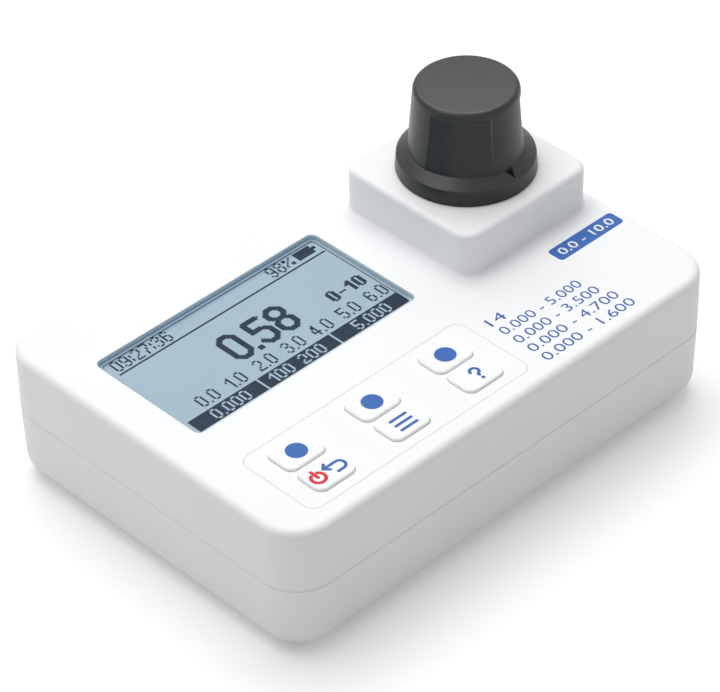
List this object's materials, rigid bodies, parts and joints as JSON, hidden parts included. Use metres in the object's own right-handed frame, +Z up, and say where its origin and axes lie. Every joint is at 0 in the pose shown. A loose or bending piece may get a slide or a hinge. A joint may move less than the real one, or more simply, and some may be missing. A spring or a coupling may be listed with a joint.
{
  "type": "portable photometer",
  "caption": "Hand-held photometer: flat two-shell case with display, keypad, raised sample well under a black light-shield cap, optics, cells and a bayonet battery cover.",
  "frame": {"origin": "on the table, under the middle of the case", "axes": "+X along the display's lines to the right, +Y to the back, +Z up"},
  "size_m": [0.1424, 0.1024, 0.0745],
  "materials": {
    "case_shell": "fine satin moulding texture",
    "case_gasket": "soft black silicone",
    "screw_steel": "zinc plated",
    "rubber_foot": "matt black rubber",
    "window_clear": "clear glossy acrylic",
    "lcd_cell": "blue-grey reflective cell",
    "light_guide": "milky diffuser",
    "frame_black": "black moulding",
    "keypad_mat": "satin silicone",
    "key_cap": "satin",
    "contact_gold": "gold plated",
    "circuit_board": "green solder mask",
    "component_black": "moulded epoxy",
    "connector_white": "natural nylon",
    "optics_black": "black anti-reflective moulding",
    "lens_glass": "polished",
    "filter_glass": "coated",
    "led_resin": "clear epoxy",
    "detector_can": "plated can",
    "battery_can": "printed sleeve",
    "spring_plate": "nickel plated",
    "cover_shell": "fine satin moulding texture",
    "cuvette_glass": "clear glass",
    "stopper_cap": "black moulding",
    "shield_black": "satin black moulding"
  },
  "bodies": {
    "root": {"top_case": "case_shell", "bottom_case": "case_shell", "case_gasket": "case_gasket", "case_screws": "screw_steel", "rubber_feet": "rubber_foot", "display_window": "window_clear", "lcd_glass": "lcd_cell", "lcd_backlight": "light_guide", "lcd_frame": "frame_black", "keypad_mat": "keypad_mat", "key_contacts": "contact_gold", "keypad_board": "circuit_board", "keypad_board_screws": "screw_steel", "keypad_connector": "connector_white", "main_board": "circuit_board", "board_screws": "screw_steel", "board_chips": "component_black", "buzzer": "component_black", "optics_block": "optics_black", "optics_screws": "screw_steel", "well_seal": "case_gasket", "led_emitter": "led_resin", "led_board": "circuit_board", "collimating_lens": "lens_glass", "narrow_band_filter": "filter_glass", "beam_splitter": "lens_glass", "reference_detector": "detector_can", "focusing_lens": "lens_glass", "sample_detector": "detector_can", "detector_board": "circuit_board", "sensor_board_screws": "screw_steel", "battery_left": "battery_can", "battery_middle": "battery_can", "battery_right": "battery_can", "battery_holder": "frame_black", "holder_screws": "screw_steel", "battery_contacts": "spring_plate"},
    "cuvette": {"sample_cuvette": "cuvette_glass"},
    "stopper": {"cuvette_stopper": "stopper_cap"},
    "shield_cap": {"light_shield_cap": "shield_black"},
    "cover": {"battery_cover": "cover_shell", "cover_seal": "case_gasket"},
    "left_key": {"key_left": "key_cap"},
    "middle_key": {"key_middle": "key_cap"},
    "right_key": {"key_right": "key_cap"},
    "power_key": {"key_power": "key_cap"},
    "menu_key": {"key_menu": "key_cap"},
    "help_key": {"key_help": "key_cap"}
  },
  "joints": [
    {"name": "left_key_press", "type": "slide", "parent": "root", "child": "left_key", "axis": [0, 0, -1], "range_m": [0, 0.0007], "stiffness_N_per_m": 1800, "springref_m": -0.0002},
    {"name": "middle_key_press", "type": "slide", "parent": "root", "child": "middle_key", "axis": [0, 0, -1], "range_m": [0, 0.0007], "stiffness_N_per_m": 1800, "springref_m": -0.0002},
    {"name": "right_key_press", "type": "slide", "parent": "root", "child": "right_key", "axis": [0, 0, -1], "range_m": [0, 0.0007], "stiffness_N_per_m": 1800, "springref_m": -0.0002},
    {"name": "power_key_press", "type": "slide", "parent": "root", "child": "power_key", "axis": [0, 0, -1], "range_m": [0, 0.0007], "stiffness_N_per_m": 1800, "springref_m": -0.0002},
    {"name": "menu_key_press", "type": "slide", "parent": "root", "child": "menu_key", "axis": [0, 0, -1], "range_m": [0, 0.0007], "stiffness_N_per_m": 1800, "springref_m": -0.0002},
    {"name": "help_key_press", "type": "slide", "parent": "root", "child": "help_key", "axis": [0, 0, -1], "range_m": [0, 0.0007], "stiffness_N_per_m": 1800, "springref_m": -0.0002},
    {"name": "cuvette_lift", "type": "slide", "parent": "root", "child": "cuvette", "axis": [0, 0, 1], "range_m": [0, 0.042]},
    {"name": "stopper_lift", "type": "slide", "parent": "cuvette", "child": "stopper", "axis": [0, 0, 1], "range_m": [0, 0.01]},
    {"name": "cap_lift", "type": "slide", "parent": "stopper", "child": "shield_cap", "axis": [0, 0, 1], "range_m": [0, 0.026]},
    {"name": "battery_cover_twist", "type": "hinge", "parent": "root", "child": "cover", "pos_m": [-0.027, 0, 0.004], "axis": [0, 0, -1], "range_deg": [0, 40]}
  ]
}
